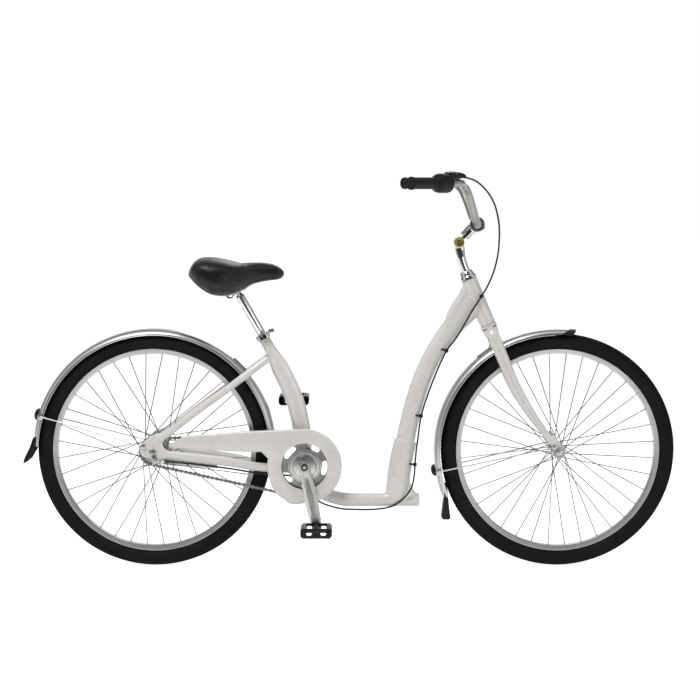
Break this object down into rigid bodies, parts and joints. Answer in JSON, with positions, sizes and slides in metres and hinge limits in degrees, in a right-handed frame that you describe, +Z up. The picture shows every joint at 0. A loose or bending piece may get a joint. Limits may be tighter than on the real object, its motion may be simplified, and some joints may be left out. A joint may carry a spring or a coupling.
{
  "type": "step-through bike",
  "caption": "Low-entry city bicycle with a curved step-through frame, hub gear, full chain guard, metal mudguards, wide padded saddle and tall adjustable stem.",
  "frame": {"origin": "on the ground, midway between the bike's ends and sides", "axes": "+X forward along the bike, +Y to the rider's left, +Z up"},
  "size_m": [1.8208, 0.6268, 1.096],
  "materials": {
    "paint": "pearl white gloss",
    "chrome": "polished chrome",
    "satin_alloy": "satin aluminium",
    "mudguard_metal": "satin silver",
    "steel": "dull zinc plated steel",
    "dark_steel": "dark oiled steel",
    "zinc": "olive yellow passivated zinc",
    "tyre": "matt black rubber",
    "rubber": "matt black rubber",
    "black_plastic": "grained black plastic",
    "vinyl": "satin black vinyl over padding"
  },
  "bodies": {
    "frame": {"front_frame": "paint", "seat_tube": "paint", "right_bracket_cup": "steel", "left_bracket_cup": "steel", "right_stays": "paint", "left_stays": "paint", "upper_headset_cup": "chrome", "lower_headset_cup": "chrome", "seat_clamp": "black_plastic", "clamp_skewer": "satin_alloy", "chain_guard": "paint", "guard_bracket": "steel", "rear_mudguard": "mudguard_metal", "rear_flap": "rubber", "rear_mudguard_bracket": "steel", "right_rear_brace": "steel", "left_rear_brace": "steel", "rear_axle": "steel", "brake_arm": "steel", "shift_bracket": "satin_alloy", "chain": "dark_steel", "shift_cable_frame": "rubber"},
    "steering": {"fork": "paint", "headset_locknut": "chrome", "front_axle": "steel", "front_mudguard": "mudguard_metal", "front_flap": "rubber", "front_mudguard_bracket": "steel", "right_front_brace": "steel", "left_front_brace": "steel", "stem_quill": "chrome", "shift_cable_steering": "rubber"},
    "bars": {"stem_arm": "chrome", "stem_pivot_bolt": "zinc", "handlebar": "satin_alloy", "right_grip": "rubber", "left_grip": "rubber", "shifter_housing": "black_plastic", "shift_cable_bars": "rubber"},
    "twist_sleeve": {"shifter_twist_sleeve": "rubber"},
    "front_wheel": {"front_tyre": "tyre", "front_rim": "satin_alloy", "front_hub": "satin_alloy"},
    "rear_wheel": {"rear_tyre": "tyre", "rear_rim": "satin_alloy", "rear_hub": "satin_alloy"},
    "sprocket": {"rear_sprocket": "dark_steel"},
    "crank": {"chainwheel": "dark_steel", "right_crank": "satin_alloy", "left_crank": "satin_alloy", "crank_spindle": "steel"},
    "right_pedal": {"right_pedal": "black_plastic"},
    "left_pedal": {"left_pedal": "black_plastic"},
    "post": {"seat_post": "chrome"},
    "saddle": {"saddle_clamp": "steel", "saddle_rails": "steel", "saddle_base": "black_plastic", "saddle_cover": "vinyl"},
    "clamp_lever": {"quick_release_lever": "satin_alloy"},
    "bell_crank": {"shift_lever": "steel"}
  },
  "joints": [
    {"name": "steering_turn", "type": "hinge", "parent": "frame", "child": "steering", "pos_m": [0.38806, 0, 0.6779], "axis": [-0.3907, 0, 0.9205], "range_deg": [-70, 70], "deforming": ["shift_cable_steering"]},
    {"name": "stem_angle", "type": "hinge", "parent": "steering", "child": "bars", "pos_m": [0.306, 0, 0.90705], "axis": [0, 1, 0], "range_deg": [-20, 15], "deforming": ["shift_cable_bars"]},
    {"name": "shifter_twist", "type": "hinge", "parent": "bars", "child": "twist_sleeve", "pos_m": [0.24782, -0.21803, 1.07], "axis": [-0.7193, -0.6947, 0], "range_deg": [-25, 25]},
    {"name": "front_wheel_spin", "type": "hinge", "parent": "steering", "child": "front_wheel", "pos_m": [0.58394, 0, 0.3265], "axis": [0, 1, 0], "continuous": true},
    {"name": "rear_wheel_spin", "type": "hinge", "parent": "frame", "child": "rear_wheel", "pos_m": [-0.54306, 0, 0.3265], "axis": [0, 1, 0], "continuous": true},
    {"name": "crank_spin", "type": "hinge", "parent": "frame", "child": "crank", "pos_m": [-0.12276, 0, 0.287], "axis": [0, 1, 0], "continuous": true, "deforming": ["chain"]},
    {"name": "sprocket_spin", "type": "hinge", "parent": "frame", "child": "sprocket", "pos_m": [-0.54306, -0.045, 0.3265], "axis": [0, 1, 0], "continuous": true},
    {"name": "right_pedal_spin", "type": "hinge", "parent": "crank", "child": "right_pedal", "pos_m": [-0.08887, -0.137, 0.12041], "axis": [0, 1, 0], "continuous": true},
    {"name": "left_pedal_spin", "type": "hinge", "parent": "crank", "child": "left_pedal", "pos_m": [-0.15666, 0.137, 0.45359], "axis": [0, 1, 0], "continuous": true},
    {"name": "seat_post_slide", "type": "slide", "parent": "frame", "child": "post", "axis": [-0.4924, 0, 0.8704], "range_m": [-0.07, 0.045]},
    {"name": "saddle_tilt", "type": "hinge", "parent": "post", "child": "saddle", "pos_m": [-0.31299, 0, 0.77459], "axis": [0, 1, 0], "range_deg": [-10, 15]},
    {"name": "clamp_lever_swing", "type": "hinge", "parent": "frame", "child": "clamp_lever", "pos_m": [-0.22607, -0.025, 0.65142], "axis": [-0.4924, 0, 0.8704], "range_deg": [-85, 0]},
    {"name": "bell_crank_swing", "type": "hinge", "parent": "frame", "child": "bell_crank", "pos_m": [-0.53506, -0.081, 0.3065], "axis": [0, 1, 0], "range_deg": [-15, 15]}
  ],
  "couplings": [
    {"joint": "sprocket_spin", "follows": "crank_spin", "ratio": 2.4444},
    {"joint": "bell_crank_swing", "follows": "shifter_twist", "ratio": 0.5}
  ]
}
